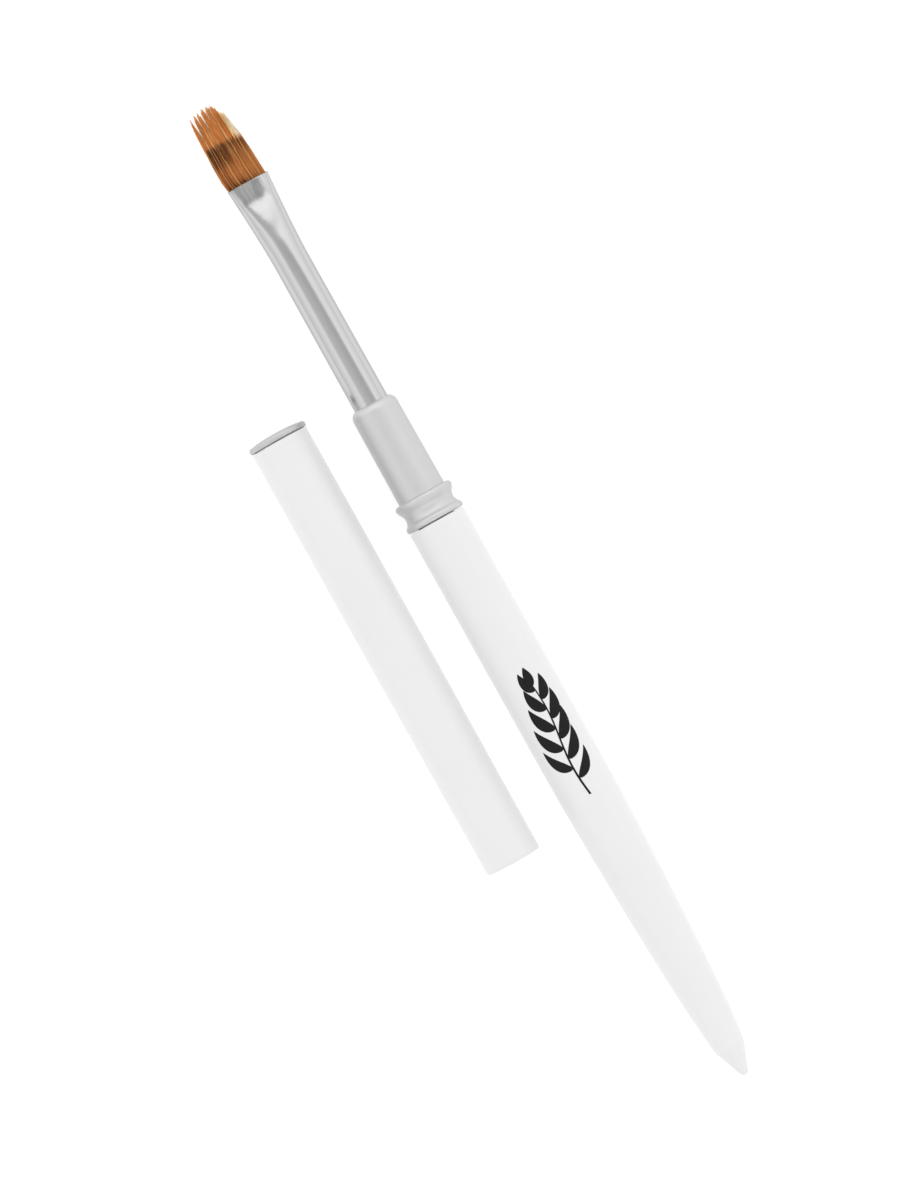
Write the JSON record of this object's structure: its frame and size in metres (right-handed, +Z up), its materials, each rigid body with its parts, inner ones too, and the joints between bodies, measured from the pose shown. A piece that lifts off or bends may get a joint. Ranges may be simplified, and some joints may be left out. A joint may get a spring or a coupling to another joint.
{
  "type": "acrylic nail brush",
  "caption": "Flat nail brush with copper hair, a pressed metal ferrule, a turned metal collar and a white tapered handle, lying beside its white metal-ended cap.",
  "frame": {"origin": "on the surface that the brush and cap lie on, under the middle of the whole object", "axes": "+Y along the brush towards its hair, +Z up, +X from the cap towards the brush"},
  "size_m": [0.0242, 0.1666, 0.0095],
  "materials": {
    "white_lacquer": "satin white lacquer with a soft sheen",
    "turned_aluminium": "fine-turned satin aluminium",
    "drawn_ferrule": "satin nickel-plated drawn tube",
    "copper_hair": "fine natural hair, copper with a dark band",
    "amber_resin": "set resin",
    "waxed_thread": "waxed winding thread"
  },
  "bodies": {
    "brush": {"handle_shell": "white_lacquer", "connector": "turned_aluminium", "ferrule": "drawn_ferrule", "hair_root_resin": "amber_resin", "binding_thread": "waxed_thread"},
    "hair": {"hair_tuft": "copper_hair"},
    "cap": {"cap_tube": "white_lacquer", "cap_end_plug": "turned_aluminium"}
  },
  "joints": [
    {"name": "hair_flex", "type": "hinge", "parent": "brush", "child": "hair", "pos_m": [0.00741, 0.07164, 0.00473], "axis": [1, 0, 0], "range_deg": [-20, 20], "stiffness_Nm_per_rad": 0.01},
    {"name": "cap_slide", "type": "slide", "parent": "brush", "child": "cap", "axis": [0, 1, 0], "range_m": [0, 0.127]}
  ]
}
